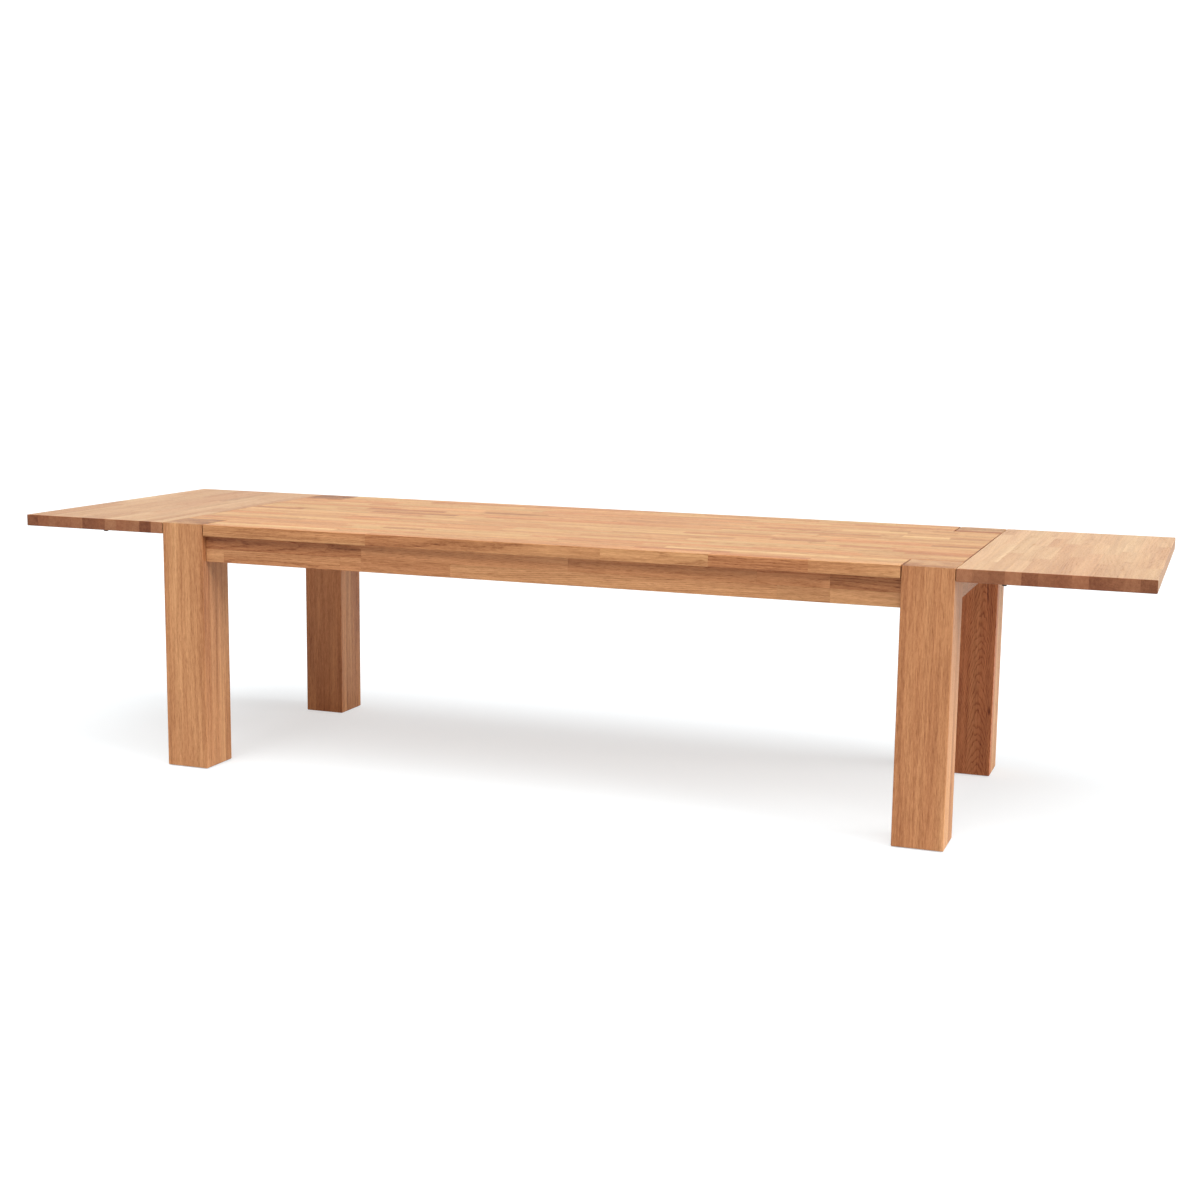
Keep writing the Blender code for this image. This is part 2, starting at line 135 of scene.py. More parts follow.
class Shader(Nodes):
    """A new material."""

    def __init__(self, name):
        self.material = bpy.data.materials.new(name)
        self.material.use_nodes = True
        super().__init__(self.material.node_tree)
        self.surface = self.tree.nodes["Principled BSDF"]

    def finish(self, colour, roughness, height=None, bump=None, depth=None,
               metallic=0.0, specular=0.5):
        """Connect the Principled shader."""
        self.put(self.surface.inputs["Base Color"], colour)
        self.put(self.surface.inputs["Roughness"], roughness)
        self.surface.inputs["Metallic"].default_value = metallic
        self.surface.inputs["Specular IOR Level"].default_value = specular
        if height is not None:
            inputs = {"Strength": bump, "Distance": depth, "Height": height}
            normal = self.node("ShaderNodeBump", inputs).outputs[0]
            self.put(self.surface.inputs["Normal"], normal)
        return self.material


# ---------------------------------------------------------------- oak

# Colours of the least and the most red staves, and what end grain does to them
GOLDEN = (0.560, 0.292, 0.130)
ROSY = (0.520, 0.222, 0.092)
END_TINT = (0.60, 0.50, 0.48)

# Distance between the noises of two staves whose seeds are 0 and 1
STAVE_SHIFT = 57.0
# Noises, by their scales along and across the grain, their detail and their roughness
WANDER, RIPPLE = (1.8, 7.0, 2.0, 0.5), (20.0, 55.0, 2.0, 0.5)
BAND, STREAK, FLECK = (0.7, 16.0, 1.0, 0.5), (3.5, 95.0, 4.0, 0.65), (52.0, 380.0, 4.0, 0.7)
DASH, PORE = (34.0, 520.0, 2.0, 0.5), (90.0, 1900.0, 1.0, 0.5)
NOISE_MEAN = 0.5
# Least width of a growth ring, and what a seed of 1 adds to it
RING_WIDTH, RING_SPREAD = 0.0026, 0.0016
# Parts of a ring over which its early wood fades out and sets in, and its mean
EARLY_FADES, EARLY_STARTS, EARLY_MEAN = (0.05, 0.45), (0.93, 1.0), 0.4
# How much stronger the rings are on end grain
END_ARCS = 0.12
# Noise levels over which dashes and pores set in, how dark pores are beside dashes, how much of
# both is left in late wood, and their mean
DASH_EDGE, PORE_EDGE = (0.55, 0.64), (0.57, 0.64)
PORE_SHARE, LATE_SHARE, DARK_MEAN = 0.7, 0.35, 0.15
# Distances from a stave's border over which its glue line fades, and how dark the line is
SEAM_EDGE, SEAM_DEPTH = (0.0001, 0.0006), 0.14
# Lowest brightness, and the powers of it that red, green and blue follow
LEAST_LEVEL, TONE_POWERS = 0.03, (0.88, 1.20, 1.42)
# What a band adds to a stave's hue
BAND_HUE = -1.2
# Roughness, and what streaks and dark pores add to it
OAK_ROUGHNESS, OAK_ROUGHER, OAK_SPECULAR = 0.47, 0.20, 0.3
# Relief of pores and of rings, then the bump's strength and depth
PORE_RELIEF, RING_RELIEF, OAK_BUMP, OAK_DEPTH = -1.0, -0.3, 0.35, 0.00025


def oak(name, grain, golden=GOLDEN, rosy=ROSY, light=1.0, rings=0.15, streaks=0.9, flecks=0.75,
        bands=0.4, pores=0.34, steps=0.13, wander=0.016, ripple=0.0030, end_steps=0.13,
        end_tint=END_TINT, flaws=None):
    """Oiled oak glued from staves.

    Every face carries its stave's look (seed, tone and hue), pith (where the middle of its tree
    lies across and through it, and how far it leans) and span (length, width, and 1 on end grain).
    Every corner carries its place, from the stave's start, from its side and from the board's
    middle plane. Growth rings are worked out around the pith, so the faces show arches or straight
    grain and the ends show arcs.
    """
    s = Shader(name)
    position = s.split(s.place())
    order = {X: (X, Y, Z), Y: (Y, X, Z), Z: (Z, Y, X)}[grain]
    along, across, through = (position[axis] for axis in order)
    seed, tone, hue = s.attribute("look")
    pith_across, pith_through, lean = s.attribute("pith")
    length, width, end = s.attribute("span")
    from_start, from_side, from_middle = s.attribute("place")
    shift = s.math("MULTIPLY", seed, STAVE_SHIFT)

    def drawn_out(lengthways, sideways, detail, roughness):
        """Noise drawn out along the grain, and moved apart for each stave."""
        scaled = ((along, lengthways), (across, sideways), (through, sideways))
        moved = s.join(*(s.math("MULTIPLY_ADD", part, scale, shift) for part, scale in scaled))
        return s.noise(moved, 1.0, detail, roughness)

    def wave(noise):
        """The same around zero."""
        return s.math("SUBTRACT", drawn_out(*noise), NOISE_MEAN)

    # Growth rings around the pith
    aside = s.math("SUBTRACT", s.math("MULTIPLY_ADD", width, -0.5, from_side), pith_across)
    above = s.math("SUBTRACT", from_middle, pith_through)
    square = s.math("ADD", s.math("POWER", aside, 2.0), s.math("POWER", above, 2.0))
    radius = s.math("SQRT", square)
    for part, strength in ((along, lean), (wave(WANDER), wander), (wave(RIPPLE), ripple)):
        radius = s.math("MULTIPLY_ADD", part, strength, radius)
    ring = s.math("MULTIPLY_ADD", seed, RING_SPREAD, RING_WIDTH)
    phase = s.math("FRACT", s.math("DIVIDE", radius, ring))
    early = s.math("ADD", s.remap(phase, *EARLY_FADES, 1.0, 0.0, smooth=True),
                   s.remap(phase, *EARLY_STARTS))

    # Bands, streaks and pores, all drawn out along the grain
    band, streak, fleck = wave(BAND), wave(STREAK), wave(FLECK)
    dash = s.remap(drawn_out(*DASH), *DASH_EDGE)
    pore = s.remap(drawn_out(*PORE), *PORE_EDGE)
    open_grain = s.math("MULTIPLY_ADD", early, 1.0 - LATE_SHARE, LATE_SHARE)
    dark = s.math("MAXIMUM", dash, s.math("MULTIPLY", pore, PORE_SHARE))
    dark = s.math("MULTIPLY", dark, open_grain)

    # Brightness, with the glue lines between the staves
    level = s.math("MULTIPLY_ADD", tone, s.remap(end, 0.0, 1.0, steps, end_steps), light)
    arcs = s.remap(end, 0.0, 1.0, -rings, -rings - END_ARCS)
    for part, strength in ((s.math("SUBTRACT", early, EARLY_MEAN), arcs), (streak, streaks),
                           (fleck, flecks), (band, bands),
                           (s.math("SUBTRACT", dark, DARK_MEAN), -pores)):
        level = s.math("MULTIPLY_ADD", part, strength, level)
    to_side = s.math("MINIMUM", from_side, s.math("SUBTRACT", width, from_side))
    to_butt = s.math("MINIMUM", from_start, s.math("SUBTRACT", length, from_start))
    seam = s.remap(s.math("MINIMUM", to_side, to_butt), *SEAM_EDGE, 1.0, 0.0)
    level = s.math("MULTIPLY_ADD", seam, -SEAM_DEPTH, level)
    if flaws:
        level = s.math("MULTIPLY", level, flaws(s, along, across, through))
    level = s.math("MAXIMUM", level, LEAST_LEVEL)

    # Darker wood is also redder
    reddish = s.math("MULTIPLY_ADD", band, BAND_HUE, hue, clamp=True)
    body = s.split(s.mix(reddish, (*golden, 1), (*rosy, 1)))
    colour = s.join(*(s.math("MULTIPLY", part, s.math("POWER", level, power))
                      for part, power in zip(body, TONE_POWERS)))
    colour = s.mix(end, colour, s.times(colour, end_tint))

    rough = s.math("MULTIPLY_ADD", streak, OAK_ROUGHER, OAK_ROUGHNESS)
    rough = s.math("MULTIPLY_ADD", dark, OAK_ROUGHER, rough)
    height = s.math("MULTIPLY_ADD", s.math("MAXIMUM", dark, seam), PORE_RELIEF,
                    s.math("MULTIPLY", early, RING_RELIEF))
    return s.finish(colour, rough, height, bump=OAK_BUMP, depth=OAK_DEPTH, specular=OAK_SPECULAR)


# The flawed leg shows its flaws in its front only: they fade out between these two places on Y
FLAWED_FRONT = (0.3635, 0.3655)
# The drying check: its place on X at a height, its lean, the heights over which it opens and over
# which it closes, the distances from its line over which it fades, and how dark it is
CHECK_X, CHECK_HEIGHT, CHECK_LEAN = 1.1705, 0.57, -0.04
CHECK_OPENS, CHECK_CLOSES = (0.528, 0.56), (0.70, 0.74)
CHECK_EDGE, CHECK_DARK = (0.0007, 0.0022), 0.88
# The knot: its middle, its radii, the squared distances over which it fades, and how dark it is
KNOT_X, KNOT_HEIGHT, KNOT_RADII = 1.1905, 0.2094, (0.0045, 0.013)
KNOT_EDGE, KNOT_DARK = (0.2, 1.6), 0.6


def leg_flaws(s, along, across, through):
    """A drying check below the top and a small knot, both in the front face of one leg."""
    on_front = s.remap(across, *FLAWED_FRONT, 1.0, 0.0)
    above = s.math("SUBTRACT", along, CHECK_HEIGHT)
    line = s.math("MULTIPLY_ADD", above, CHECK_LEAN, CHECK_X)
    wide = s.math("MULTIPLY", s.remap(along, *CHECK_OPENS), s.remap(along, *CHECK_CLOSES, 1.0, 0.0))
    off_line = s.math("ABSOLUTE", s.math("SUBTRACT", through, line))
    check = s.math("MULTIPLY", s.remap(off_line, *CHECK_EDGE, 1.0, 0.0, smooth=True), wide)
    knot_x = s.math("DIVIDE", s.math("SUBTRACT", through, KNOT_X), KNOT_RADII[0])
    knot_z = s.math("DIVIDE", s.math("SUBTRACT", along, KNOT_HEIGHT), KNOT_RADII[1])
    square = s.math("ADD", s.math("POWER", knot_x, 2.0), s.math("POWER", knot_z, 2.0))
    knot = s.remap(square, *KNOT_EDGE, 1.0, 0.0)
    marks = s.math("MAXIMUM", s.math("MULTIPLY", check, CHECK_DARK),
                   s.math("MULTIPLY", knot, KNOT_DARK))
    return s.math("SUBTRACT", 1.0, s.math("MULTIPLY", marks, on_front))


# The leaves' paler golden and rosy are painted sheen, standing in for the white sheen that their
# tops show across the grain.
LEAF_LOOK_WITH_PAINTED_SHEEN = {"rings": 0.06, "streaks": 0.75, "flecks": 0.6, "bands": 0.3, "pores": 0.16,
             "steps": 0.11, "end_steps": 0.36, "end_tint": (0.646, 0.438, 0.370),
             "golden": (0.515, 0.328, 0.181), "rosy": (0.485, 0.273, 0.146)}
LEG_LOOK = {"light": 0.98, "end_tint": (0.755, 0.800, 0.830), "end_steps": 0.30, "streaks": 1.0}
RAIL_LOOK = {"golden": (0.780, 0.545, 0.345), "rosy": (0.700, 0.430, 0.250), "rings": 0.12,
             "streaks": 0.8, "pores": 0.20, "end_tint": (0.72, 0.62, 0.56)}

TOP_OAK = oak("oak_top_staves", X, golden=(0.505, 0.297, 0.128), rosy=(0.530, 0.236, 0.098),
              light=0.915, streaks=1.25, steps=0.14, bands=0.5)
# Painted light: the left leaf is made darker and the right one lighter, because the light is
# brighter at the right end.
LEAF_OAK_WITH_PAINTED_LIGHT = {"left": oak("oak_leaf_staves_left_painted_shade", Y, light=0.88, **LEAF_LOOK_WITH_PAINTED_SHEEN),
            "right": oak("oak_leaf_staves_right_painted_light", Y, light=1.03, **LEAF_LOOK_WITH_PAINTED_SHEEN)}
LEG_OAK = oak("oak_leg_layers", Z, bands=1.0, rings=0.10, **LEG_LOOK)
CHECKED_OAK = oak("oak_leg_layers_checked", Z, rosy=(0.560, 0.212, 0.086), rings=0.20,
                  wander=0.035, ripple=0.0060, flaws=leg_flaws, **LEG_LOOK)
# The aprons are darker partly by their own oak and partly by painted shade, the shade under the
# tabletop's overhang.
APRON_OAK_X_WITH_PAINTED_SHADE = oak("oak_apron_staves_x", X, light=0.83)
APRON_OAK_Y_WITH_PAINTED_SHADE = oak("oak_apron_staves_y", Y, light=0.83)
RAIL_OAK = oak("rail_oak", X, light=0.88, **RAIL_LOOK)
CROSS_OAK = oak("cross_rail_oak", Y, light=0.84, **RAIL_LOOK)


# ---------------------------------------------------------------- steel and plastic

# Noise scales of smudges and scratches on steel, and of texture and wear on plastic
SMUDGE_SCALE, SCRATCH_SCALES = 60.0, (400.0, 2600.0, 2600.0)
SPARK_SCALE, WEAR_SCALE = 2400.0, 45.0
# What smudges add to the brightness of steel, and its least brightness; what they add to its
# roughness, and what is taken off for it
SMUDGE_BRIGHTNESS, SMUDGE_ROUGHNESS = (0.35, 0.82), (0.25, -0.12)
# What wear adds to the brightness and to the roughness of plastic, each with its least value
WEAR_BRIGHTNESS, WEAR_ROUGHNESS = (0.5, 0.75), (0.2, 0.55)


def metal(name, colour, roughness, scratches):
    """Steel with fine scratches, smudges and slightly uneven colour."""
    s = Shader(name)
    place = s.place()
    smudge = s.noise(place, SMUDGE_SCALE, 3.0)
    scratch = s.noise(s.times(place, SCRATCH_SCALES), 1.0, 2.0)
    level = s.math("MULTIPLY_ADD", smudge, *SMUDGE_BRIGHTNESS)
    rough = s.math("MULTIPLY_ADD", scratch, scratches, roughness + SMUDGE_ROUGHNESS[1])
    rough = s.math("MULTIPLY_ADD", smudge, SMUDGE_ROUGHNESS[0], rough)
    return s.finish(s.scale_colour(colour, level), rough, scratch,
                    bump=0.12, depth=0.0001, metallic=1.0)


def moulded(name, colour):
    """Moulded plastic with a fine spark-eroded texture."""
    s = Shader(name)
    place = s.place()
    spark = s.noise(place, SPARK_SCALE, 2.0)
    wear = s.noise(place, WEAR_SCALE, 3.0)
    level = s.math("MULTIPLY_ADD", wear, *WEAR_BRIGHTNESS)
    rough = s.math("MULTIPLY_ADD", wear, *WEAR_ROUGHNESS)
    return s.finish(s.scale_colour(colour, level), rough, spark,
                    bump=0.2, depth=0.0001, specular=0.4)


DARK_STEEL = metal("burnished_steel", (0.09, 0.08, 0.07), 0.45, 0.2)
ZINC_STEEL = metal("zinc_plated_steel", (0.62, 0.63, 0.65), 0.38, 0.2)
GLIDE_PLASTIC = moulded("glide_plastic_brown", (0.15, 0.12, 0.10))


# ---------------------------------------------------------------- staves

Row = collections.namedtuple("Row", "low high staves")
Stave = collections.namedtuple("Stave", "low high look pith")

# Spread of the tones, mean and spread of the hues, and what a brighter tone takes from the hue
TONE_SPREAD, HUE_MEAN, HUE_SPREAD, HUE_FALL = 0.38, 0.42, 0.25, 0.25
# Distances of the pith from the stave's middle, and the spread of its lean
PITH_REACH, LEAN_SPREAD = (0.02, 0.12), 0.03
# A row's first stave, as a share of the longest
FIRST_SHARE = (0.3, 1.0)
# Regular step of the butt joints
JOINT_STEP = 0.02
# Least distance of other joints from a stave that stands out
ACCENT_GAP = 0.09
# Decimals to which places are compared, and the distance at which they are the same
DECIMALS, SAME = 6, 1e-6
# A face is end grain from this share of its normal along the grain
END_GRAIN = 0.6
# Angles below which faces are joined, and above which edges are sharp
FLAT_ANGLE, SHARP_ANGLE = math.radians(1), math.radians(50)
# How strongly the large faces set the shading of the small ones beside them
FACE_WEIGHT = 100


def draw_stave(low, high, dice, tone=None, hue=None, pith=None):
    """A stave with its look and pith; what isn't given is drawn, darker staves mostly redder."""
    seed, drawn = dice.random(), dice.gauss(0, TONE_SPREAD)
    redder = dice.gauss(HUE_MEAN, HUE_SPREAD)
    angle, reach = dice.uniform(0, 2 * math.pi), dice.uniform(*PITH_REACH)
    lean = dice.gauss(0, LEAN_SPREAD)
    tone = drawn if tone is None else tone
    hue = redder - HUE_FALL * tone if hue is None else hue
    pith = pith or (reach * math.cos(angle), reach * math.sin(angle), lean)
    return Stave(low, high, (seed, tone, min(1.0, max(0.0, hue))), pith)


def staves(low, high, joints, looks, dice):
    """Staves of one row between its joints; looks gives the tone and hue of the first ones."""
    ends = [low, *joints, high]
    looks = [*looks, *[(None, None)] * (len(ends) - 1 - len(looks))]
    return [draw_stave(start, stop, dice, *look)
            for start, stop, look in zip(ends, ends[1:], looks)]


def drawn_joints(low, high, shortest, longest, dice):
    """Places of a row's butt joints, on a regular step so that the rows share their cuts."""
    joints = []
    place = low + JOINT_STEP * round(dice.uniform(*FIRST_SHARE) * longest / JOINT_STEP)
    while place < high - shortest:
        joints.append(place)
        place += JOINT_STEP * round(dice.uniform(shortest, longest) / JOINT_STEP)
    return joints


def with_accents(joints, low, high, accents):
    """Joints and looks of a row in which the staves that stand out lie at their places."""
    for start, stop, _ in accents:
        joints = [place for place in joints
                  if not start - ACCENT_GAP < place < stop + ACCENT_GAP]
        joints += [place for place in (start, stop) if low < place < high]
    joints = sorted(joints)
    tones = {round(start, DECIMALS): tone for start, _, tone in accents}
    return joints, [(tones.get(round(place, DECIMALS)), None) for place in (low, *joints)]


def even_rows(low, high, count):
    """Borders of equal rows."""
    return [low + (high - low) * i / count for i in range(count + 1)]


def long_grain_rows(low, high, borders, lengths, dice, known=None, first=None, accents=None):
    """Rows of staves with drawn joints.

    lengths gives the shortest and the longest stave; known gives whole rows by their index, as
    joints and looks; first gives the tone of each row's first stave; accents gives the start, end
    and tone of staves that stand out, by their row.
    """
    known = known or {}
    accents = accents or {}
    made = []
    for i, (start, stop) in enumerate(zip(borders, borders[1:])):
        joints = drawn_joints(low, high, *lengths, dice)
        drawn = with_accents(joints, low, high, accents.get(i, ()))
        joints, looks = known.get(i, drawn)
        if first:
            looks[0] = (first[i], None)
        made.append(Row(start, stop, staves(low, high, joints, looks, dice)))
    return made


def cut_into_staves(solid, grain, across, rows):
    """Cut a mesh at every border between staves, so that a face belongs to one stave."""
    cuts = {(across, round(row.low, DECIMALS)) for row in rows[1:]}
    cuts |= {(grain, round(stave.low, DECIMALS)) for row in rows for stave in row.staves[1:]}
    for axis, place in sorted(cuts):
        normal = [0.0, 0.0, 0.0]
        point = [0.0, 0.0, 0.0]
        normal[axis], point[axis] = 1.0, place
        geometry = solid.verts[:] + solid.edges[:] + solid.faces[:]
        bmesh.ops.bisect_plane(solid, geom=geometry, dist=SAME, plane_co=point, plane_no=normal)


def extent(mesh, axis):
    """Lowest and highest vertex along an axis."""
    places = [vertex.co[axis] for vertex in mesh.vertices]
    return min(places), max(places)


def stave_attributes(mesh, grain, across, rows):
    """Write each face's stave and each corner's place in it."""
    through = X + Y + Z - grain - across
    middle = sum(extent(mesh, through)) / 2
    values = {"look": [], "pith": [], "span": [], "place": []}
    for face in mesh.polygons:
        row = next((r for r in rows if face.center[across] < r.high), rows[-1])
        stave = next((v for v in row.staves if face.center[grain] < v.high), row.staves[-1])
        values["look"] += stave.look
        values["pith"] += stave.pith
        on_end = 1.0 if abs(face.normal[grain]) > END_GRAIN else 0.0
        values["span"] += (stave.high - stave.low, row.high - row.low, on_end)
        for corner in face.loop_indices:
            point = mesh.vertices[mesh.loops[corner].vertex_index].co
            values["place"] += (point[grain] - stave.low, point[across] - row.low,
                                point[through] - middle)
    for name, numbers in values.items():
        domain = "CORNER" if name == "place" else "FACE"
        attribute = mesh.attributes.new(name, "FLOAT_VECTOR", domain)
        attribute.data.foreach_set("vector", numbers)


def add_object(name, data):
    """A new object in the scene."""
    made = bpy.data.objects.new(name, data)
    bpy.context.scene.collection.objects.link(made)
    return made


def glued_board(node, body, material, grain, across, rows):
    """Replace a board of the model with the same board cut into its staves."""
    mesh = NODES[node].data.copy()
    mesh.name = f"{node}_staves"
    solid = bmesh.new()
    solid.from_mesh(mesh)
    bmesh.ops.remove_doubles(solid, verts=solid.verts, dist=SAME)
    bmesh.ops.dissolve_limit(solid, angle_limit=FLAT_ANGLE, verts=solid.verts, edges=solid.edges)
    cut_into_staves(solid, grain, across, rows)
    solid.to_mesh(mesh)
    solid.free()
    mesh.materials.clear()
    mesh.materials.append(material)
    stave_attributes(mesh, grain, across, rows)
    mesh.shade_smooth()
    mesh.set_sharp_from_angle(angle=SHARP_ANGLE)
    piece = add_object(mesh.name, mesh)
    normals = piece.modifiers.new("even_shading", "WEIGHTED_NORMAL")
    normals.keep_sharp = True
    normals.weight = FACE_WEIGHT
    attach(piece, body)
    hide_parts(node)
    return piece


# ---------------------------------------------------------------- boards

# Rows of the top, shortest and longest staves, and the seed of the draws
TOP_ROWS, TOP_LENGTHS, TOP_SEED = 25, (0.16, 0.56), 11
# Joints along the top's front edge, left to right, then each stave's tone and hue
FRONT_EDGE = ((-0.508, 0.222, 0.534, 0.811),
              ((0.4, 0.75), (-0.3, 0.85), (1.0, 0.7), (-0.2, 1.0), (1.2, 0.55)))
# Staves of the top that stand out: start, end and tone, by row from the front
TOP_ACCENTS = {4: ((-0.54, -0.40, -1.0),),
               6: ((1.02, 1.20, -0.9),),
               7: ((0.98, 1.20, -0.7),),
               8: ((0.82, 0.98, -1.0),),
               10: ((0.60, 0.76, -1.2),),
               11: ((1.06, 1.20, -1.7),),
               13: ((-1.20, -1.02, -1.4),),
               14: ((-0.78, -0.48, -1.9),),
               16: ((-0.84, -0.56, -1.7), (1.08, 1.20, -1.5)),
               17: ((-0.44, -0.22, -1.4),),
               19: ((-1.06, -0.90, 0.8), (0.88, 0.94, -1.3)),
               20: ((1.00, 1.08, -1.3),),
               22: ((-0.72, -0.58, -1.1),)}
# Walls of the notches around the legs, the distance within which a vertex is on one, and how far
# the seasoned board stands back from the legs there
NOTCH_X, NOTCH_Y, WALL, NOTCH_SHRINKAGE = 1.059, 0.359, 0.003, 0.0009


def make_top():
    """The tabletop, with 40 mm staves along the table."""
    low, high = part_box("tabletop")
    rows = long_grain_rows(low.x, high.x, even_rows(low.y, high.y, TOP_ROWS), TOP_LENGTHS,
                           random.Random(TOP_SEED), known={0: FRONT_EDGE}, accents=TOP_ACCENTS)
    top = glued_board("tabletop", "table", TOP_OAK, X, Y, rows)
    for vertex in top.data.vertices:
        x, y = abs(vertex.co.x), abs(vertex.co.y)
        if x > NOTCH_X - WALL and y > NOTCH_Y - WALL:
            if x < NOTCH_X + WALL:
                vertex.co.x -= math.copysign(NOTCH_SHRINKAGE, vertex.co.x)
            if y < NOTCH_Y + WALL:
                vertex.co.y -= math.copysign(NOTCH_SHRINKAGE, vertex.co.y)


# Shortest and longest staves of the leaves, and the middle of their two seeds
LEAF_LENGTHS, LEAF_SEED = (0.14, 0.50), 23
# Inner edges of the leaves, and how far they stand back from the table
LEAF_INNER_X, LEAF_SHRINKAGE = 1.2005, 0.0010
# Tones of the leaves' end grain along the front, left to right, one for each row
LEAF_FRONT = {"left": (-0.5, 0.0, 0.2, 0.1, 0.3, -0.6, -0.4, 0.4, 0.1, 0.3, -0.7, 0.6),
              "right": (0.3, -0.3, -0.6, 0.2, -0.8, -0.3, -0.4, 0.2, -0.8, -0.5, -0.3, -1.1)}


def make_leaf(end):
    """An add-on leaf, with its staves across the table."""
    low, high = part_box(f"leaf_{end}")
    front = LEAF_FRONT[end]
    rows = long_grain_rows(low.y, high.y, even_rows(low.x, high.x, len(front)), LEAF_LENGTHS,
                           random.Random(LEAF_SEED + ENDS[end]), first=front)
    leaf = glued_board(f"leaf_{end}", f"leaf_{end}", LEAF_OAK_WITH_PAINTED_LIGHT[end], Y, X, rows)
    for vertex in leaf.data.vertices:
        if abs(vertex.co.x) < LEAF_INNER_X + WALL:
            vertex.co.x += math.copysign(LEAF_SHRINKAGE, vertex.co.x)


# Tone and hue of each leg's layers from front to back, and the pith of the front one
LEG_LAYERS = {
    ("left", "front"): ((0.0, 0.45, (0.03, 0.15, 0.0)), (-1.0, 0.5), (-0.3, 0.5), (-0.9, 0.5)),
    ("right", "front"): ((-0.2, 0.70, (0.02, 0.16, 0.01)), (0.8, 0.35), (0.3, 0.35), (1.0, 0.35)),
    ("left", "back"): ((-0.3, 1.0, (-0.05, 0.10, 0.02)), (-0.8, 0.5), (-1.2, 0.5), (-0.7, 0.5)),
    ("right", "back"): ((-0.7, 1.0, (0.035, 0.027, 0.12)), (0.2, 0.1), (-0.5, 0.1), (0.4, 0.1)),
}


def make_leg(end, side):
    """A leg glued from full-length layers."""
    node = f"leg_{end}_{side}"
    low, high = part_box(node)
    dice = random.Random(node)
    looks = LEG_LAYERS[end, side]
    borders = even_rows(low.y, high.y, len(looks))
    rows = [Row(start, stop, [draw_stave(low.z, high.z, dice, *look)])
            for start, stop, look in zip(borders, borders[1:], looks)]
    material = CHECKED_OAK if (end, side) == ("right", "back") else LEG_OAK
    glued_board(node, "table", material, Z, Y, rows)


# Strips of an apron, one above the other, and the shortest and longest staves
APRON_STRIPS, LONG_APRON_LENGTHS, END_APRON_LENGTHS = 2, (0.15, 0.50), (0.15, 0.40)
# Joints along the two strips of the front apron, left to right, then each stave's tone and hue
# Part of the darkness of the upper strip's first stave is painted shade, the shade that the
# tabletop's overhang casts on it.
APRON_UPPER_WITH_PAINTED_SHADE = ((-0.531, 0.12, 0.667, 0.868),
               ((-1.5, 1.0), (1.1, 0.6), (-0.1, 0.8), (-0.1, 1.0), (-2.4, 1.0)))
APRON_LOWER = ((-0.997, -0.601, -0.532, -0.244, 0.724, 0.869),
               ((0.3, 0.5), (-0.6, 0.7), (0.0, 0.75), (0.1, 0.5), (0.3, 0.4), (0.0, 0.05),
                (0.6, 0.2)))


def make_long_aprons():
    """The front and back aprons."""
    for side in SIDES:
        node = f"apron_{side}"
        low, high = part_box(node)
        known = {0: APRON_LOWER, 1: APRON_UPPER_WITH_PAINTED_SHADE} if side == "front" else None
        rows = long_grain_rows(low.x, high.x, even_rows(low.z, high.z, APRON_STRIPS),
                               LONG_APRON_LENGTHS, random.Random(node), known=known)
        glued_board(node, "table", APRON_OAK_X_WITH_PAINTED_SHADE, X, Z, rows)


def make_end_aprons():
    """The aprons between the legs of each end."""
    for end in ENDS:
        node = f"apron_{end}"
        low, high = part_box(node)
        rows = long_grain_rows(low.y, high.y, even_rows(low.z, high.z, APRON_STRIPS),
                               END_APRON_LENGTHS, random.Random(node))
        glued_board(node, "table", APRON_OAK_Y_WITH_PAINTED_SHADE, Y, Z, rows)


def make_inner_wood():
    """The leaf rails with their guides and stop blocks, and the cross rail, each of one piece."""
    boards = [("cross_rail", "table", CROSS_OAK, Y)]
    for end in ENDS:
        for side in SIDES:
            boards += [(f"leaf_rail_{end}_{side}", f"rail_{end}_{side}", RAIL_OAK, X),
                       (f"rail_stop_{end}_{side}", f"rail_{end}_{side}", RAIL_OAK, X),
                       (f"rail_guide_{end}_{side}", "table", RAIL_OAK, X)]
    for node, body, material, grain in boards:
        low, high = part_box(node)
        across = X if grain == Y else Y
        stave = draw_stave(low[grain], high[grain], random.Random(node))
        rows = [Row(low[across], high[across], [stave])]
        glued_board(node, body, material, grain, across, rows)


# ---------------------------------------------------------------- hardware

# Radius and height of a screw head's rings, and whether they are hexagonal
SCREW_PROFILE = ((0.0036, -0.0002, False), (0.0036, 0.0006, False), (0.0028, 0.0013, False),
                 (0.0018, 0.0013, True), (0.0016, 0.0003, True))
SCREW_SIDES, SCREW_SHARP_ANGLE = 24, math.radians(35)
# Half the angle that a side of the hexagonal socket spans, and the whole of it
HALF_SIXTH, SIXTH = math.radians(30), math.radians(60)
# Plate thicknesses
CATCH_PLATE, CORNER_PLATE = 0.0025, 0.0030
# Places of the screws: along and across from the middle of a catch plate, from the ends of a corner
# plate's flange, from the ends and sides of a guide, across from the middle of a stop block, and
# along the cross rail
CATCH_SCREWS = (0.016, 0.011)
PLATE_SCREWS = (0.011, 0.031)
GUIDE_SCREWS = (0.03, 0.009)
STOP_SCREW = 0.010
CROSS_SCREWS = (-0.36, 0.0, 0.36)


def screw_ring(solid, place, turn, radius, height, hexagonal):
    """Vertices of one ring of a screw head, all with the same count."""
    ring = []
    for i in range(SCREW_SIDES):
        angle = 2 * math.pi * i / SCREW_SIDES
        off_side = HALF_SIXTH - angle % SIXTH
        reach = radius * math.cos(HALF_SIXTH) / math.cos(off_side) if hexagonal else radius
        point = Vector((reach * math.cos(angle), reach * math.sin(angle), height))
        ring.append(solid.verts.new(Vector(place) + turn @ point))
    return ring


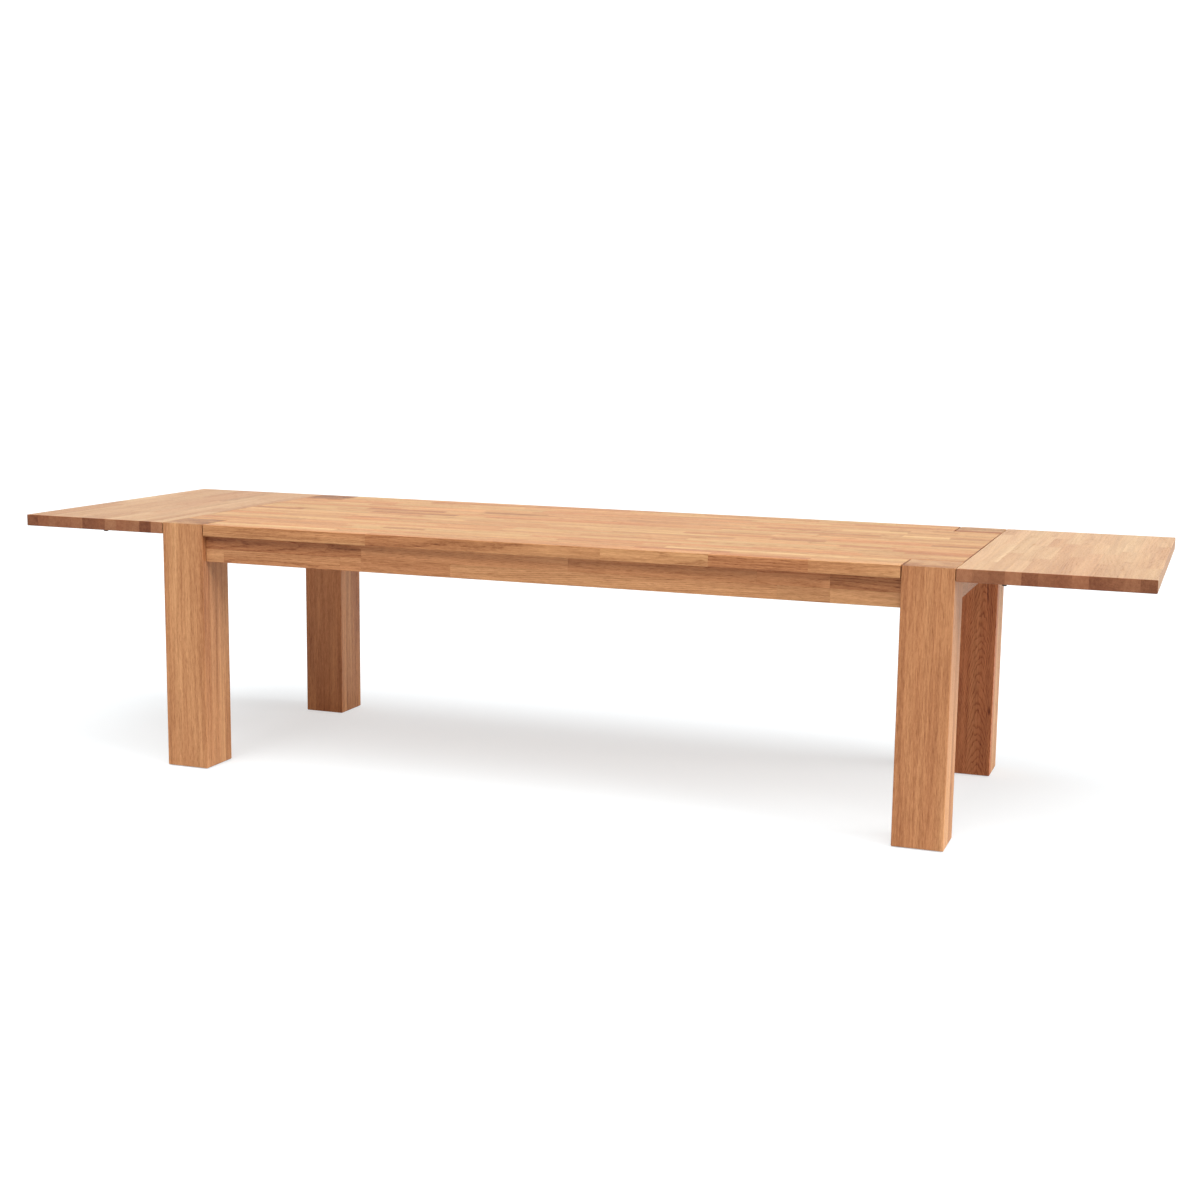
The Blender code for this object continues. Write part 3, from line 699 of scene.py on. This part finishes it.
def screw_heads(name, body, material, outward, places):
    """Low screw heads with hexagonal sockets, standing on a surface that faces outward."""
    solid = bmesh.new()
    turn = Vector((0, 0, 1)).rotation_difference(Vector(outward)).to_matrix()
    for place in places:
        rings = [screw_ring(solid, place, turn, *ring) for ring in SCREW_PROFILE]
        for inner, outer in zip(rings[1:], rings):
            for i in range(SCREW_SIDES):
                j = (i + 1) % SCREW_SIDES
                solid.faces.new((outer[i], outer[j], inner[j], inner[i]))
        solid.faces.new(rings[0][::-1])
        floor = solid.verts.new(sum((vert.co for vert in rings[-1]), Vector()) / SCREW_SIDES)
        for i in range(SCREW_SIDES):
            solid.faces.new((rings[-1][i], rings[-1][(i + 1) % SCREW_SIDES], floor))
    mesh = bpy.data.meshes.new(name)
    solid.to_mesh(mesh)
    solid.free()
    mesh.materials.append(material)
    mesh.shade_smooth()
    mesh.set_sharp_from_angle(angle=SCREW_SHARP_ANGLE)
    piece = add_object(name, mesh)
    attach(piece, body)


def zinc_screws(name, body, outward, places):
    """Screws of zinc-plated steel."""
    screw_heads(name, body, ZINC_STEEL, outward, places)


def make_screws():
    """Screws in the catch plates, corner plates, rail guides, stop blocks and cross rail."""
    down = (0, 0, -1)
    catch_x, catch_y = CATCH_SCREWS
    from_end, from_side = GUIDE_SCREWS
    for end, sx in ENDS.items():
        low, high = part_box(f"catch_pivot_{end}")
        middle = (low + high) / 2
        catch = [(middle.x + dx, middle.y + dy, high.z - CATCH_PLATE)
                 for dx in (-catch_x, catch_x) for dy in (-catch_y, catch_y)]
        screw_heads(f"catch_screws_{end}", f"leaf_{end}", DARK_STEEL, down, catch)
        for side, sy in SIDES.items():
            low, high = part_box(f"corner_plate_{end}_{side}")
            inner, outer = (low, high) if sx > 0 else (high, low)
            near, far = (low, high) if sy > 0 else (high, low)
            level = (low.z + high.z) / 2
            flange_y, flange_x = far.y - sy * CORNER_PLATE, outer.x - sx * CORNER_PLATE
            zinc_screws(f"plate_screws_x_{end}_{side}", "table", (0, -sy, 0),
                        [(inner.x + sx * d, flange_y, level) for d in PLATE_SCREWS])
            zinc_screws(f"plate_screws_y_{end}_{side}", "table", (-sx, 0, 0),
                        [(flange_x, near.y + sy * d, level) for d in PLATE_SCREWS])
            low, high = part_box(f"rail_guide_{end}_{side}")
            zinc_screws(f"guide_screws_{end}_{side}", "table", down,
                        [(x, y, low.z) for x in (low.x + from_end, high.x - from_end)
                         for y in (low.y + from_side, high.y - from_side)])
            low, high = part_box(f"rail_stop_{end}_{side}")
            middle = (low + high) / 2
            zinc_screws(f"stop_screws_{end}_{side}", f"rail_{end}_{side}", down,
                        [(middle.x, middle.y + d, low.z) for d in (-STOP_SCREW, STOP_SCREW)])
    low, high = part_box("cross_rail")
    zinc_screws("cross_rail_screws", "table", down, [(0, y, low.z) for y in CROSS_SCREWS])


def finish_model_nodes():
    """Give the nodes of the model that stay their materials."""
    looks = {"rail_pull": DARK_STEEL, "catch_pivot": DARK_STEEL, "catch_hook": DARK_STEEL,
             "catch_stud": ZINC_STEEL, "corner_plate": ZINC_STEEL, "leg_bolt": ZINC_STEEL,
             "leaf_pin": ZINC_STEEL, "glide": GLIDE_PLASTIC}
    for name, thing in NODES.items():
        for start, material in looks.items():
            if name.startswith(start):
                thing.data.materials.clear()
                thing.data.materials.append(material)


# ---------------------------------------------------------------- camera, floor and lights

# Place, and turn, dip and tilt in radians; lens and sensor in millimetres
CAMERA_PLACE = (1.88746, -5.01825, 1.36126)
CAMERA_TURN, CAMERA_DIP, CAMERA_TILT = 0.35276, 0.15403, 0.01261
CAMERA_LENS, CAMERA_SENSOR = 52.548, 36.0


def make_camera():
    """The camera, a little right of the table's middle and above its top."""
    turn, dip, tilt = CAMERA_TURN, CAMERA_DIP, CAMERA_TILT
    ahead = Vector((-math.sin(turn) * math.cos(dip), math.cos(turn) * math.cos(dip),
                    -math.sin(dip)))
    level_right = Vector((math.cos(turn), math.sin(turn), 0))
    level_up = level_right.cross(ahead)
    right = math.cos(tilt) * level_right + math.sin(tilt) * level_up
    up = math.cos(tilt) * level_up - math.sin(tilt) * level_right
    data = bpy.data.cameras.new("camera")
    data.sensor_width = CAMERA_SENSOR
    data.lens = CAMERA_LENS
    camera = add_object("camera", data)
    camera.matrix_world = Matrix((right, up, -ahead)).transposed().to_4x4()
    camera.location = CAMERA_PLACE
    bpy.context.scene.camera = camera


# Half the floor's width, and its parts each way
FLOOR_SIZE, FLOOR_SEGMENTS = 40.0, 4
# The floor is cool enough to look neutral in the light from the wood above it. Its glow to the
# camera is that of a light table. What it sends to the table is neutral together with its albedo.
FLOOR_ALBEDO = (0.395, 0.428, 0.450)
FLOOR_GLOW = (0.58, 0.58, 0.58)
FLOOR_BOUNCE = (0.320, 0.250, 0.220)
FLOOR_ROUGHNESS = 0.9
# Scale of the floor's uneven shade, its range and its lowest value
SHADE_SCALE, SHADE_RANGE, SHADE_LOW = 0.7, 0.05, 0.975
# Strength of the sky, what the backdrop behind the table adds, and how bright the camera sees both
SKY_LIGHT, BACKDROP_LIGHT, SKY_SEEN = 0.22, 0.9, 1.2
# Parts of the view direction over which the backdrop sets in to the back and fades upward
BACKDROP_BACK, BACKDROP_UP = (-0.1, 0.7), (0.55, 0.25)
# Name, direction, angle of the disc in degrees, strength and colour
SUNS = (("overhead", (-0.06, 0.37, -1.0), 60, 3.05, (1.0, 0.99, 0.97)),
        ("side", (-1.0, 0.10, -0.60), 40, 2.34, (1.0, 0.99, 0.98)),
        ("front", (0.05, 0.78, -0.62), 18, 0.36, (1.0, 0.99, 0.98)))


def make_floor():
    """A white light table for a floor."""
    mesh = bpy.data.meshes.new("floor")
    flat = bmesh.new()
    bmesh.ops.create_grid(flat, x_segments=FLOOR_SEGMENTS, y_segments=FLOOR_SEGMENTS,
                          size=FLOOR_SIZE)
    flat.to_mesh(mesh)
    flat.free()
    floor = add_object("floor", mesh)
    s = Shader("studio_floor")
    shade = s.math("MULTIPLY_ADD", s.noise(s.place(), SHADE_SCALE, 2.0), SHADE_RANGE, SHADE_LOW)
    glow = s.mix(s.seen(), (*FLOOR_BOUNCE, 1), (*FLOOR_GLOW, 1))
    s.put(s.surface.inputs["Emission Color"], glow)
    s.surface.inputs["Emission Strength"].default_value = 1.0
    albedo = s.scale_colour(FLOOR_ALBEDO, shade)
    mesh.materials.append(s.finish(albedo, FLOOR_ROUGHNESS, specular=0.0))


def make_sky():
    """White surroundings, brighter behind the table."""
    world = bpy.data.worlds.new("studio")
    world.use_nodes = True
    bpy.context.scene.world = world
    background = world.node_tree.nodes["Background"]
    background.inputs["Color"].default_value = (1.0, 1.0, 1.0, 1.0)
    w = Nodes(world.node_tree)
    _, back, up = w.split(w.place("Generated"))
    behind = w.math("MULTIPLY", w.remap(back, *BACKDROP_BACK), w.remap(up, *BACKDROP_UP))
    light = w.math("MULTIPLY_ADD", behind, BACKDROP_LIGHT, SKY_LIGHT)
    strength = w.math("MAXIMUM", light, w.math("MULTIPLY", w.seen(), SKY_SEEN))
    w.put(background.inputs["Strength"], strength)


def make_suns():
    """Distant lights with wide discs, which shine along a direction."""
    for name, direction, angle, strength, colour in SUNS:
        data = bpy.data.lights.new(name, "SUN")
        data.angle = math.radians(angle)
        data.energy = strength
        data.color = colour
        light = add_object(name, data)
        light.rotation_euler = Vector(direction).to_track_quat("-Z", "Y").to_euler()


make_camera()
make_floor()
make_sky()
make_suns()
bpy.context.scene.view_settings.view_transform = "Standard"
make_top()
make_long_aprons()
make_end_aprons()
make_inner_wood()
make_screws()
for end_name in ENDS:
    make_leaf(end_name)
    for side_name in SIDES:
        make_leg(end_name, side_name)
finish_model_nodes()
